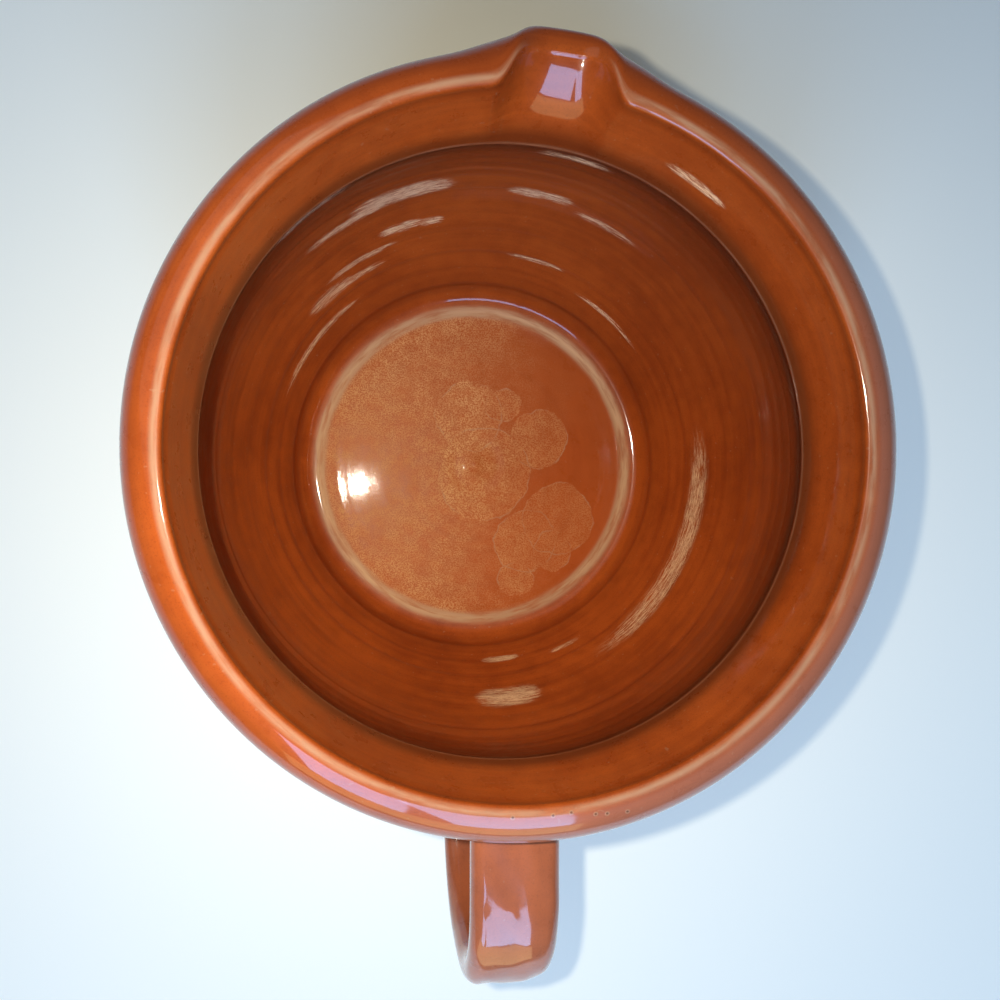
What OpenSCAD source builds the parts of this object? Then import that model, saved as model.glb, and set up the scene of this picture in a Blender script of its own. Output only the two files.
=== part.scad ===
// Wide-mouthed earthenware pitcher, thrown on the wheel, with a rolled rim,
// a pulled pouring lip and one pulled strap handle luted on under the rim.
// The origin is the centre of the flat foot. +Z is up, the spout points
// along +Y (turned a little towards +X) and the handle lies along -Y.

/* [Bowl] */
// Height of the rim's crest above the table
body_h = 144; // [130:1:170]
// Radius of the flat foot
foot_r = 66; // [58:1:72]
// Rounding of the foot's outer edge
foot_round = 2; // [1:0.5:4]
// Outer radius of the belly at its widest
belly_r = 92.5; // [88:0.5:100]
// Height of the belly's widest place
belly_z = 78; // [66:1:88]
// Thickness of the wall
wall_t = 6.5; // [5:0.5:8]
// Thickness of the floor at its edge
floor_t = 9.5; // [7:0.5:12]
// Distance of the groove that the potter left round the floor from the foot's edge
floor_ring_in = 4.7; // [3:0.1:8]
// Width of the floor's groove
floor_ring_w = 3; // [2:0.5:5]
// Depth of the floor's groove
floor_ring_d = 0.7; // [0.3:0.1:1.2]
// Rise of the floor's middle above its edge
floor_dome = 0.5; // [0.5:0.1:3]
// Radius of the throwing button in the middle of the floor
button_r = 5; // [3:0.5:8]
// Height of the throwing button
button_h = 1; // [0.4:0.1:1.6]

/* [Neck and rim] */
// Depth of the neck's inside edge below the crest
neck_drop = 24.5; // [20:0.5:30]
// Outer radius of the neck
neck_r = 85.5; // [82:0.5:88]
// Thickness of the wall at the neck's inside edge
neck_t = 6.1; // [5:0.1:8]
// Widening of the collar from the neck's inside edge up to the crest
collar_open = 3; // [1.6:0.1:4]
// Hollow of the collar's inside band
collar_hollow = 0.5; // [0:0.1:1]
// Width of the crest, from the collar's inside to the start of the rolled band
crest_w = 2.2; // [1.6:0.1:3]
// Width of the flat land along the crest
crest_land = 0.6; // [0.4:0.1:1]
// Rounding of the crest's inner bead
crest_bead = 1.3; // [0.8:0.1:1.6]
// Width of the rolled rim, from its crest to its outer edge
roll_w = 10.4; // [9:0.2:13]
// Height of the rolled rim's outer band, from the crest to its widest place
rim_roll_h = 10.5; // [8:0.5:13]
// Height of the rolled rim's underside, from its widest place down
rim_under_h = 6; // [4:0.5:7]

/* [Spout] */
// Turn of the spout from the line opposite the handle, towards +X
spout_turn = 5.3; // [0:0.1:15]
// Reach of the spout's lip beyond the rolled rim
spout_out = 7.5; // [6:0.5:11]
// Depth of the pouring channel's floor at the lip, below the rim's crest
lip_drop = 7; // [5:0.5:8]
// Radius of the bend by which the channel rolls over the rim
spout_bend_r = 19; // [17:0.5:21]
// Distance by which pulling the spout has drawn the rolled rim outwards
rim_pull = 3.8; // [2:0.2:5]
// Distance by which the drawn-out stretch of the rim lies lower
rim_dip = 0.6; // [0.4:0.1:1.2]
// Half-angle round the axis over which the rim is drawn outwards
rim_pull_angle = 19; // [16:1:24]
// Width of the rolled band at the spout, from its crest to its outer edge
pulled_band_w = 13; // [11:0.5:14]
// Droop of the lip past the top of the bend, in degrees
spout_droop = 10; // [5:1:16]
// Radius of the channel's hollow across the pour
channel_r = 9; // [8:0.5:11]
// Height of the spout's cheeks above the channel's floor
cheek_h = 4.5; // [3.5:0.5:6]
// Thickness of the spout's wall
spout_t = 4; // [3:0.2:5]
// Radius of the lip's rounded front, seen from above
lip_front_r = 15; // [13:0.5:20]
// Radius of the throat where the rim's two folds open into the channel
throat_r = 18; // [15:0.5:20]
// Depth of the throat's floor below the rim's crest
throat_drop = 7.5; // [5:0.5:9]

/* [Handle] */
// Width of the handle's strap
strap_w = 24; // [20:0.5:28]
// Thickness of the handle's strap
strap_t = 9.5; // [8.5:0.5:11]
// Rounding of the strap's four long edges
strap_round = 4; // [2:0.5:4]
// Depth of the strap's top face below the rim's crest
handle_drop = 21.5; // [20:0.5:25]
// Height of the handle's loop, over its top face and its lowest face
handle_h = 76.5; // [70:0.5:84]
// Reach of the handle beyond the rolled rim
handle_out = 56.5; // [48:0.5:60]
// Radius of the strap's outer face in the upper bend
upper_bend_r = 33; // [28:1:36]
// Radius of the strap's outer face in the lower bend
lower_bend_r = 36; // [28:1:38]
// Lean of the handle, which carries its lower root towards -X
handle_lean = 2.4; // [0:0.1:4]

/* [Joins] */
// Length of the luting clay between the neck and the strap's upper end
upper_lute = 9.5; // [7:0.5:12]
// Length of the luting clay between the belly and the strap's lower end
lower_lute = 9.5; // [7:0.5:12]
// Spread of the luting clay beyond the strap's edges at the wall
join_spread = 4; // [2:0.5:6]
// Spread of the lower luting clay below the strap, where its tail is pressed down
tail_spread = 9; // [5:0.5:12]
// Depth to which the luting clay's block runs in behind the wall's face
join_sink = 12; // [8:1:16]

/* [Hidden] */

$fn = 96;
clay_red = [0.55, 0.24, 0.09];
handle_red = [0.58, 0.27, 0.12];
slip_red = [0.50, 0.21, 0.08];

wall_steps = 14;
floor_steps = 6;
arc_steps = 8;
hull_fn = 32;
skin = 0.01;
over = 4;

floor_ring_r = foot_r - floor_ring_in;
groove_in_r = floor_ring_r - floor_ring_w;
groove_out_r = floor_ring_r + floor_ring_w / 2;
floor_fillet = 9;
fillet_z = floor_t + floor_fillet;

neck_z = body_h - neck_drop;
neck_edge_r = neck_r - neck_t;
neck_edge_round = 1.2;
neck_edge_turn = 30;
neck_turn = 1;
collar_r = neck_edge_r + collar_open;
collar_step = 0.8;
collar_top_z = body_h - crest_bead - collar_step;
crest_r = collar_r + crest_w;
crest_in_r = crest_r - crest_land;
rim_r = crest_r + roll_w;
roll_mid_z = body_h - rim_roll_h;
under_w = rim_r - neck_r - 4 * neck_turn;

spout_reach = rim_r + spout_out;
spout_lip_z = body_h - lip_drop;
spout_axis_z = spout_lip_z - spout_bend_r * cos(spout_droop);
spout_axis_s = spout_reach - spout_bend_r * sin(spout_droop);
trough_front = 90 - 2 * spout_droop;
trough_back = 170;
channel_front = trough_front - spout_droop;
channel_back = trough_back + spout_droop / 2;
trough_far = channel_r + 2 * spout_t;

pull_reach = rim_r + rim_pull;
pull_centre_s = (pull_reach * pull_reach - rim_r * rim_r) / (pull_reach - rim_r * cos(rim_pull_angle)) / 2;
pull_r = pull_reach - pull_centre_s;
pull_mid_z = roll_mid_z - rim_dip;
pull_under_h = rim_under_h - 2 * rim_dip;

throat_z = body_h - throat_drop;
throat_back = 10;
throat_lift = 1;
throat_run = spout_reach - crest_r;
throat_rise = (spout_lip_z + channel_r) - (throat_z + throat_r) + throat_lift;
throat_length = norm([throat_run, throat_rise]);
throat_taper = (throat_r - channel_r) / throat_length;

handle_top_z = body_h - handle_drop;
handle_low_z = handle_top_z - handle_h;
handle_reach = rim_r + handle_out;
bend_top_z = handle_top_z - upper_bend_r;
bend_low_z = handle_low_z + lower_bend_r;
upper_bend_s = handle_reach - upper_bend_r;
lower_bend_s = handle_reach - lower_bend_r;
upper_root_s = neck_r + upper_lute;
lower_root_s = outer_r(handle_low_z + strap_t / 2) + lower_lute;

// Points of an elliptical arc about a centre, from angle a0 to angle a1
function arc(cx, cy, rx, ry, a0, a1, n) =
    [for (i = [0:n]) let (a = a0 + (a1 - a0) * i / n) [cx + rx * cos(a), cy + ry * sin(a)]];

// Outer radius of the bowl at a height: it swells from the foot and draws in to the neck
function swell(z) = foot_r + (belly_r - foot_r) * sin(90 * z / belly_z);
function draw_in(z) = neck_r + (belly_r - neck_r) * cos(90 * (z - belly_z) / (neck_z - belly_z));
function outer_r(z) = z < belly_z ? swell(z) : draw_in(z);

// Inner radius of the bowl: the wall's thickness inside the outer face, easing to the neck's edge
function ease(z) = z < belly_z ? 0 : (z - belly_z) / (neck_z - belly_z);
function inner_r(z) = (outer_r(z) - wall_t) * (1 - ease(z)) + neck_edge_r * ease(z);

// Height of the floor: a low dome, with a button in the middle and a groove round its edge
function dome(r) = floor_dome * (1 + cos(180 * r / floor_ring_r)) / 2;
function button(r) = r < button_r ? button_h * (1 + cos(180 * r / button_r)) / 2 : 0;
function groove(r) = let (d = abs(r - floor_ring_r) / floor_ring_w)
    d < 1 ? floor_ring_d * (1 + cos(180 * d)) / 2 : 0;
function floor_z(r) = floor_t + (r < floor_ring_r ? dome(r) : 0) + button(r) - groove(r);

// Heights at which the wall is drawn, from the foot's edge to the neck
function wall_z(z0, i) = z0 + (neck_z - z0) * i / wall_steps;

outer_profile = concat(
    [[0, 0]],
    arc(outer_r(foot_round) - foot_round, foot_round, foot_round, foot_round, -90, 0, arc_steps),
    [for (i = [1:wall_steps]) let (z = wall_z(foot_round, i)) [outer_r(z), z]],
    [[neck_r + neck_turn, roll_mid_z - rim_under_h - neck_turn]],
    arc(rim_r - under_w, roll_mid_z, under_w, rim_under_h, -90, 0, arc_steps),
    arc(crest_r, roll_mid_z, roll_w, rim_roll_h, 90 / arc_steps, 90, arc_steps - 1),
    [[0, body_h]]
);

inside_profile = concat(
    [for (i = [0:floor_steps]) let (r = button_r * i / floor_steps) [r, floor_z(r)]],
    [for (i = [1:floor_steps]) let (r = button_r + (groove_in_r - button_r) * i / floor_steps)
        [r, floor_z(r)]],
    [for (i = [1:arc_steps]) let (r = groove_in_r + (groove_out_r - groove_in_r) * i / arc_steps)
        [r, floor_z(r)]],
    [for (i = [1:arc_steps]) let (a = 90 * i / arc_steps)
        [groove_out_r + (inner_r(fillet_z) - groove_out_r) * sin(a),
         floor_z(groove_out_r) + (fillet_z - floor_z(groove_out_r)) * (1 - cos(a))]],
    [for (i = [1:wall_steps]) let (z = wall_z(fillet_z, i)) if (i < wall_steps) [inner_r(z), z]],
    arc(neck_edge_r + neck_edge_round, neck_z, neck_edge_round, neck_edge_round,
        180 + neck_edge_turn, 180 - neck_edge_turn, arc_steps / 2),
    [for (i = [1:floor_steps]) let (t = i / floor_steps)
        [neck_edge_r + (collar_r - neck_edge_r) * t + collar_hollow * sin(180 * t),
         neck_z + neck_edge_round + (collar_top_z - neck_z - neck_edge_round) * t]],
    arc(crest_in_r, body_h - crest_bead, crest_bead, crest_bead, 180, 90, arc_steps / 2),
    [[crest_in_r, body_h + over], [0, body_h + over]]
);

// Full solid inside the bowl's outer face, without its hollow
module outer_form() {
    rotate_extrude() polygon(outer_profile);
}

pulled_profile = concat(
    [[0, pull_mid_z - pull_under_h]],
    arc(pull_r - pulled_band_w / 2, pull_mid_z, pulled_band_w / 2, pull_under_h, -90, 0, arc_steps),
    arc(pull_r - pulled_band_w, pull_mid_z, pulled_band_w, rim_roll_h, 90 / arc_steps, 90, arc_steps - 1),
    [[0, pull_mid_z + rim_roll_h]]
);

// The rolled rim's band where it is drawn out beside the spout, turned about a centre of its own
module pulled_rim() {
    rotate([0, 0, 90 - spout_turn])
        translate([pull_centre_s, 0, 0])
            rotate_extrude() polygon(pulled_profile);
}

// The hollow of the pitcher, open at the top
module inside_space() {
    rotate_extrude() polygon(inside_profile);
}

// Turns a shape drawn in the plane of radius and height about an axis across the spout
module across_spout(from, to) {
    rotate([0, 0, 90 - spout_turn])
        translate([spout_axis_s, 0, spout_axis_z])
            rotate([90, 0, 0])
                rotate([0, 0, from])
                    rotate_extrude(angle = to - from) children();
}

// Cross-section of the spout, before its channel is cut: round below, level at the cheeks
module trough_section() {
    intersection() {
        translate([spout_bend_r + channel_r, 0]) circle(r = channel_r + spout_t);
        translate([spout_bend_r - 2 * spout_t, -trough_far])
            square([2 * spout_t + cheek_h, 2 * trough_far]);
    }
}

// Upright cylinder that rounds the front of the spout's lip
module lip_plan() {
    rotate([0, 0, 90 - spout_turn])
        translate([spout_reach - lip_front_r, 0, neck_z])
            cylinder(r = lip_front_r, h = body_h + over - neck_z);
}

module spout_trough() {
    intersection() {
        across_spout(trough_front, trough_back) trough_section();
        lip_plan();
    }
}

// The hollow down which the pour runs, open upwards
module pouring_channel() {
    across_spout(channel_front, channel_back)
        translate([spout_bend_r + channel_r, 0]) {
            circle(r = channel_r);
            translate([0, -channel_r]) square([2 * channel_r, 2 * channel_r]);
        }
}

// The throat that draws the rim's two folds together towards the channel
module throat() {
    rotate([0, 0, 90 - spout_turn])
        translate([crest_r, 0, throat_z + throat_r])
            rotate([0, 90 - atan2(throat_rise, throat_run), 0])
                translate([0, 0, -throat_back])
                    cylinder(r1 = throat_r + throat_taper * throat_back,
                             r2 = channel_r - throat_taper * over,
                             h = throat_back + throat_length + over);
}

// Cross-section of the handle's strap, standing on its outer face's radius
module strap_section(outer) {
    translate([outer - strap_t, -strap_w / 2]) {
        translate([strap_round, 0]) square([strap_t - 2 * strap_round, strap_w]);
        translate([0, strap_round]) square([strap_t, strap_w - 2 * strap_round]);
        for (x = [strap_round, strap_t - strap_round], y = [strap_round, strap_w - strap_round])
            translate([x, y]) circle(r = strap_round);
    }
}

// Puts children, drawn with +X away from the axis and +Y across the strap, along -Y with their lean
module handle_place() {
    translate([0, 0, handle_top_z])
        rotate([0, handle_lean, 0])
            translate([0, 0, -handle_top_z])
                rotate([0, 0, -90]) children();
}

// One bend of the strap about a centre in the handle's plane
module strap_bend(s, z, outer, from, to) {
    translate([s, 0, z])
        rotate([90, 0, 0])
            rotate([0, 0, from])
                rotate_extrude(angle = to - from) strap_section(outer);
}

// A straight run of the strap along +X, with its outer face at height z
module strap_run(s0, s1, z, up) {
    translate([s0, 0, z])
        rotate([90, 0, 90])
            linear_extrude(s1 - s0)
                rotate([0, 0, up ? 90 : -90]) strap_section(0);
}

// The strap's flared clay from its end at s towards the wall, between two heights
module luting_block(s, z, below) {
    hull() {
        for (y = [-1, 1], h = [0, 1])
            translate([s, y * (strap_w / 2 - strap_round),
                       z + strap_round + h * (strap_t - 2 * strap_round)])
                rotate([0, -90, 0]) cylinder(r = strap_round, h = skin, $fn = hull_fn);
        for (y = [-1, 1], h = [0, 1])
            translate([s - join_sink, y * (strap_w / 2 - strap_round + join_spread),
                       z + strap_round - below + h * (strap_t - 2 * strap_round + below + join_spread)])
                rotate([0, -90, 0]) cylinder(r = strap_round, h = skin, $fn = hull_fn);
    }
}

module body() {
    color(clay_red)
        difference() {
            union() {
                outer_form();
                pulled_rim();
                spout_trough();
            }
            inside_space();
            pouring_channel();
            throat();
        }
}

module handle() {
    color(handle_red)
        handle_place() {
            strap_run(upper_root_s, upper_bend_s, handle_top_z, true);
            strap_bend(upper_bend_s, bend_top_z, upper_bend_r, 0, 90);
            if (bend_top_z > bend_low_z)
                translate([handle_reach, 0, bend_low_z])
                    linear_extrude(bend_top_z - bend_low_z) strap_section(0);
            strap_bend(lower_bend_s, bend_low_z, lower_bend_r, -90, 0);
            strap_run(lower_root_s, lower_bend_s, handle_low_z, false);
        }
}

module upper_join() {
    color(slip_red)
        difference() {
            handle_place() luting_block(upper_root_s, handle_top_z - strap_t, join_spread);
            outer_form();
        }
}

module lower_join() {
    color(slip_red)
        difference() {
            handle_place() luting_block(lower_root_s, handle_low_z, tail_spread);
            outer_form();
        }
}

body();
handle();
upper_join();
lower_join();
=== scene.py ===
# %% [markdown]
# A wide earthenware pitcher, thrown on the wheel, glazed inside and out, seen from nearly overhead.
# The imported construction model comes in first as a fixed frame. Every clay piece made here is put
# where that model says, so nothing has to be fitted afterwards.

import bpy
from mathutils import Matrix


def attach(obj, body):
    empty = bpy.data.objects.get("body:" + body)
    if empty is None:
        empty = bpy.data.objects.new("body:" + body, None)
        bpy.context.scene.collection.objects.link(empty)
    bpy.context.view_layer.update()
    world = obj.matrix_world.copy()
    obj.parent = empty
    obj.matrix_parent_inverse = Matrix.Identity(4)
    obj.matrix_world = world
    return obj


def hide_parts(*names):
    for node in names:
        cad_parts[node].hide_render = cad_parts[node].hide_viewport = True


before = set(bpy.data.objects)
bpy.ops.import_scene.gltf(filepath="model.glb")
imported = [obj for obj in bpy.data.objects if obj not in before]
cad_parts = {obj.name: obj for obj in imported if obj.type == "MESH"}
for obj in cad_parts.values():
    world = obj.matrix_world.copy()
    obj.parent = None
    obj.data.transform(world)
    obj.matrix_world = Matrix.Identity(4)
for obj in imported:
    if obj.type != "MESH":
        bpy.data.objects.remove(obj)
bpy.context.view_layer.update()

# %% Tools of the lesson
import math

import bmesh
import bpy
import numpy as np
from mathutils import Matrix, Vector

MM = 0.001
TURN = 2 * math.pi


# %% [markdown]
# The camera looks down into the pitcher from a little left of its axis. Its place was worked out from
# the sizes and centres of the circles of rim, neck and floor, so the script states it as a point above
# the table and as the pixel at which the point straight below the camera would lie.

# %% The camera
IMAGE_SIDE = 1000
FOCAL_PX = 820
SENSOR_MM = 36
CAMERA_AT = Vector((-32.3, -9.9, 330.4)) * MM
BELOW_PX = (392.6, 490.4)


def camera_matrix():
    """The camera's matrix, from its place and from the pixel of the point straight below it."""
    middle = IMAGE_SIDE / 2
    down = Vector((BELOW_PX[0] - middle, BELOW_PX[1] - middle, FOCAL_PX)).normalized()
    up_in_picture = Vector((0, -1, 0))
    y_axis = (up_in_picture - down * up_in_picture.dot(down)).normalized()
    z_axis = -down
    x_axis = y_axis.cross(z_axis)
    turn = Matrix((x_axis, y_axis, z_axis)) @ Matrix.Diagonal((1, -1, -1))
    return Matrix.Translation(CAMERA_AT) @ turn.to_4x4()


camera_data = bpy.data.cameras.new("camera")
camera_data.sensor_width = SENSOR_MM
camera_data.lens = SENSOR_MM * FOCAL_PX / IMAGE_SIDE
camera_data.clip_start = 0.01
camera = bpy.data.objects.new("camera", camera_data)
camera.matrix_world = camera_matrix()
bpy.context.scene.collection.objects.link(camera)
bpy.context.scene.camera = camera
print("camera at", tuple(round(c, 4) for c in camera.location))

# %% [markdown]
# A potter turns the whole bowl from one section: the line from the middle of the foot, up the outside,
# over the rolled rim, down the collar and across the floor inside. The section's sizes are those of the
# construction model, in millimetres. The wall swells as a quarter of a sine to the belly and draws in as
# a quarter of a cosine to the neck.

# %% Sizes of the bowl
BODY_H = 144
FOOT_R = 66
FOOT_ROUND = 2
BELLY_R = 92.5
BELLY_Z = 78
WALL_T = 6.5
FLOOR_T = 9.5
FLOOR_RING_R = 61.3
FLOOR_RING_W = 3
FLOOR_RING_D = 0.7
FLOOR_DISH = 0.35
FLOOR_FILLET = 9
BUTTON_R = 5
BUTTON_H = 1
NECK_Z = 119.5
NECK_R = 85.5
NECK_EDGE_R = 79.4
UNDERCUT_Z = 107
COLLAR_R = 82.4
COLLAR_HOLLOW = 0.6
CREST_R = 84.6
CREST_LAND = 0.6
CREST_BEAD = 1.3
RIM_R = 95
FINGER_RIDGES = ((28, 0.28), (36.3, 0.5), (47.5, 0.22), (71, 0.2))
SPOUT_TURN = math.radians(90 - 5.3)
ROLL_H = 10.5
UNDER_H = 6
ROLL_Z = BODY_H - ROLL_H


def outer_r(z):
    """Outer radius of the wall at a height."""
    swell = FOOT_R + (BELLY_R - FOOT_R) * np.sin(TURN / 4 * z / BELLY_Z)
    draw_in = NECK_R + (BELLY_R - NECK_R) * np.cos(TURN / 4 * (z - BELLY_Z) / (NECK_Z - BELLY_Z))
    return np.where(z < BELLY_Z, swell, draw_in)


def inner_r(z):
    """Inner radius of the wall: its thickness inside the outer face, turning in to the neck's edge."""
    turn_in = np.clip((z - UNDERCUT_Z) / (NECK_Z - UNDERCUT_Z), 0, 1) ** 2.5
    thinner = 0.6 * np.clip((z - 50) / 20, 0, 1)
    return (outer_r(z) - WALL_T + thinner) * (1 - turn_in) + NECK_EDGE_R * turn_in


def finger_marks(z):
    """How far the ridges that the fingers left stand in from the wall: steep below, fading above."""
    total = 0 * z
    for height, rise in FINGER_RIDGES:
        width = np.where(z < height, 0.9, 4.5)
        total = total + rise * np.exp(-((z - height) / width) ** 2)
    return total


def neck_shadow(z):
    """How far the wall falls back right under the neck's edge."""
    return 1.0 * np.exp(-((z - NECK_Z + 4.4) / 2.8) ** 2)


def cosine_hill(distance, width):
    """One at no distance, falling as half a cosine to nothing at the width."""
    return (1 + np.cos(math.pi * np.clip(np.abs(distance) / width, 0, 1))) / 2


def floor_z(r):
    """Height of the floor inside: nearly flat, with a button in the middle and a groove round the edge."""
    dish = FLOOR_DISH * (np.minimum(r / FLOOR_RING_R, 1) ** 2 - 0.6)
    button = BUTTON_H * cosine_hill(r, BUTTON_R) - 0.25 * cosine_hill(r - 8.5, 3.5)
    groove = FLOOR_RING_D * cosine_hill(r - FLOOR_RING_R, FLOOR_RING_W)
    rings = 0.1 * cosine_hill(r - 54, 1.6) + 0.05 * cosine_hill(r - 50, 3)
    return FLOOR_T + dish + button + rings - groove


print("belly", float(outer_r(np.float64(BELLY_Z))), "floor", float(floor_z(np.float64(0))))

# %% [markdown]
# The section is drawn part by part, and each point keeps the name of its part and its share of the way
# along that part. The rolled rim needs this later, when the spout is pulled out of it: a point of the
# collar then knows that it belongs to the pouring channel.

# %% Draw the section
def bezier(points, t):
    """Points of a cubic curve through four corners, each a pair that may hold arrays."""
    s = 1 - t
    weights = (s ** 3, 3 * s * s * t, 3 * s * t * t, t ** 3)
    return [sum(w * p[axis] for w, p in zip(weights, points)) for axis in (0, 1)]


def shares(count):
    """Evenly spread shares from just after 0 up to 1."""
    return np.arange(1, count + 1) / count


def roll_under(t):
    """The turn from the neck out to the widest place of the rolled rim."""
    low = bezier([(NECK_R, NECK_Z), (NECK_R, 125.2), (86.3, 127.4), (89.5, 127.4)], np.clip(t / 0.5, 0, 1))
    angle = TURN / 4 * np.clip(t / 0.5 - 1, 0, 1)
    high = [89.5 + (RIM_R - 89.5) * np.sin(angle), ROLL_Z - (ROLL_Z - 127.4) * np.cos(angle)]
    return [np.where(t < 0.5, a, b) for a, b in zip(low, high)]


def collar(t):
    """The collar's inside, from the crest's bead down to the neck's edge."""
    top = BODY_H - CREST_BEAD
    start = (CREST_R - CREST_LAND - CREST_BEAD, top)
    end = (NECK_EDGE_R, NECK_Z + 0.4)
    return [end[0] + (start[0] - end[0]) * (1 - t) ** 1.35, start[1] + (end[1] - start[1]) * t]


def collar_relief(t):
    """How far the collar's face lies further out: its hollow, and the fold under the crest."""
    fold = 0.55 * np.exp(-((t - 0.05) / 0.03) ** 2)
    return COLLAR_HOLLOW * np.sin(math.pi * t) + fold - 0.3 * (1 - t) ** 4


fillet_r = FLOOR_RING_R + FLOOR_RING_W / 2
fillet_low = float(floor_z(fillet_r))
fillet_top = FLOOR_T + FLOOR_FILLET

t = shares(8)
parts = [("underside", t, t * (FOOT_R - FOOT_ROUND), 0 * t)]
t = shares(6)
foot_mid = float(outer_r(np.float64(FOOT_ROUND))) - FOOT_ROUND
parts.append(("foot", t, foot_mid + FOOT_ROUND * np.sin(TURN / 4 * t), FOOT_ROUND * (1 - np.cos(TURN / 4 * t))))
t = shares(42)
z = FOOT_ROUND + (NECK_Z - FOOT_ROUND) * t
parts.append(("wall", t, outer_r(z), z))
t = shares(15)
parts.append(("roll_under", t, *roll_under(t)))
t = shares(22)
parts.append(("roll", t, CREST_R + (RIM_R - CREST_R) * np.cos(TURN / 4 * t), ROLL_Z + ROLL_H * np.sin(TURN / 4 * t)))
t = shares(9)
bead_turn = TURN / 4 * np.clip(t * 1.25 - 0.25, 0, 1)
bead_r = CREST_R - CREST_LAND * np.clip(t * 4, 0, 1) - CREST_BEAD * np.sin(bead_turn)
parts.append(("bead", t, bead_r, BODY_H - CREST_BEAD * (1 - np.cos(bead_turn))))
t = shares(26)
collar_line = collar(t)
parts.append(("collar", t, collar_line[0] + collar_relief(t), collar_line[1]))
t = shares(100)
z = NECK_Z - (NECK_Z - fillet_top) * t
parts.append(("inside", t, inner_r(z) - finger_marks(z) + neck_shadow(z), z))
t = shares(12)
fillet_turn = TURN / 4 * (1 - t)
parts.append(("fillet", t, fillet_r + (float(inner_r(np.float64(fillet_top))) - fillet_r) * np.sin(fillet_turn),
              fillet_low + (fillet_top - fillet_low) * (1 - np.cos(fillet_turn))))
t = shares(46)
r = fillet_r * (1 - t)
parts.append(("floor", t, r, floor_z(r)))

PART_NAMES = [name for name, *rest in parts]
section_part = np.concatenate([[0]] + [np.full(len(t), i) for i, (name, t, *rest) in enumerate(parts)])
section_share = np.concatenate([[0.0]] + [t for name, t, r, z in parts])
section_r = np.concatenate([[0.0]] + [r for name, t, r, z in parts])
section_z = np.concatenate([[0.0]] + [z for name, t, r, z in parts])
steps = np.hypot(np.diff(section_r), np.diff(section_z))
section_along = np.concatenate([[0.0], np.cumsum(steps)])
print(len(section_r), "points in the section,", round(section_along[-1], 1), "mm long")


def along_of(part):
    """Distances along the section at which a part starts and ends, in millimetres."""
    rows = np.flatnonzero(section_part == PART_NAMES.index(part))
    return section_along[rows[0] - 1], section_along[rows[-1]]


# %% [markdown]
# The wheel leaves a spiral of shallow ridges wherever the potter's fingers climbed the wall. They are
# strong on the lower wall inside, faint on the outside and absent from the rim, which is smoothed with a
# wet leather. Each section point therefore carries the height of the ridges there and the direction in
# which the clay faces.

# %% Ridges and facing of the section
tangent_r = np.gradient(section_r, section_along)
tangent_z = np.gradient(section_z, section_along)
facing = np.stack([tangent_z, 0 * tangent_z, -tangent_r], 1)
facing /= np.linalg.norm(facing, axis=1)[:, None]
RIDGES = {"wall": 0.15, "inside": 0.1, "fillet": 0.08, "floor": 0.012}
ridge = np.array([RIDGES.get(PART_NAMES[p], 0.0) for p in section_part])
ridge = np.convolve(np.pad(ridge, 8, mode="edge"), np.ones(17) / 17, mode="valid")
ridge[:20] = 0
print("ridges up to", round(ridge.max(), 3), "mm high")

section_mesh = bpy.data.meshes.new("section")
section_mesh.from_pydata((np.stack([section_r, 0 * section_r, section_z], 1) * MM).tolist(), [], [])
for name, values in (("along", section_along), ("ridge", ridge)):
    section_mesh.attributes.new(name, "FLOAT", "POINT").data.foreach_set("value", values)
section_mesh.attributes.new("facing", "FLOAT_VECTOR", "POINT").data.foreach_set("vector", facing.ravel())
bowl_section = bpy.data.objects.new("bowl_section", section_mesh)
bpy.context.scene.collection.objects.link(bowl_section)

# %% [markdown]
# Node trees for geometry and for finishes are both put together with the same small helpers: one adds a
# node and fills its inputs, the others are short ways to write sums and blends of node outputs.

# %% Helpers for node trees
def fill(tree, socket, value):
    """Links an output to a socket, or sets the socket to a plain value."""
    if isinstance(value, bpy.types.NodeSocket):
        tree.links.new(value, socket)
    else:
        socket.default_value = value


def put(tree, kind, inputs=None, **settings):
    """Adds a node, sets its own settings and fills its inputs by name or by number."""
    node = tree.nodes.new(kind)
    for name, value in settings.items():
        setattr(node, name, value)
    for key, value in (inputs or {}).items():
        fill(tree, node.inputs[key], value)
    return node


def calc(tree, operation, *values):
    """One step of arithmetic on numbers or outputs."""
    return put(tree, "ShaderNodeMath", dict(enumerate(values)), operation=operation).outputs[0]


def vector_calc(tree, operation, *values):
    """One step of arithmetic on vectors."""
    return put(tree, "ShaderNodeVectorMath", dict(enumerate(values)), operation=operation).outputs[0]


# %% [markdown]
# Geometry Nodes turn the section round the axis as the wheel does. A grid has one row for each section
# point and one column for each step of the turn. Every grid point looks up its section point, moves it
# out along its facing by the spiral ridges, and goes to its place round the axis. The columns crowd
# together at the spout, where the pulled clay needs finer steps. A bowl thrown by hand is never quite
# round, so it is also a little oval and a little wavy.

# %% The tree that throws the bowl
throwing = bpy.data.node_groups.new("throw_the_bowl", "GeometryNodeTree")
face = throwing.interface
face.new_socket("Section", in_out="INPUT", socket_type="NodeSocketGeometry")
WHEEL_INPUTS = {
    "Columns": ("NodeSocketInt", 340),
    "Spout direction": ("NodeSocketFloat", SPOUT_TURN),
    "Crowding at the spout": ("NodeSocketFloat", 0.62),
    "Ridge spacing in mm": ("NodeSocketFloat", 8.5),
    "Ovality": ("NodeSocketFloat", 0.004),
    "Waviness in mm": ("NodeSocketFloat", 0.35),
    "Clay": ("NodeSocketMaterial", None),
}
wheel_sockets = {}
for name, (kind, value) in WHEEL_INPUTS.items():
    socket = face.new_socket(name, in_out="INPUT", socket_type=kind)
    wheel_sockets[name] = socket.identifier
face.new_socket("Bowl", in_out="OUTPUT", socket_type="NodeSocketGeometry")

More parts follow.
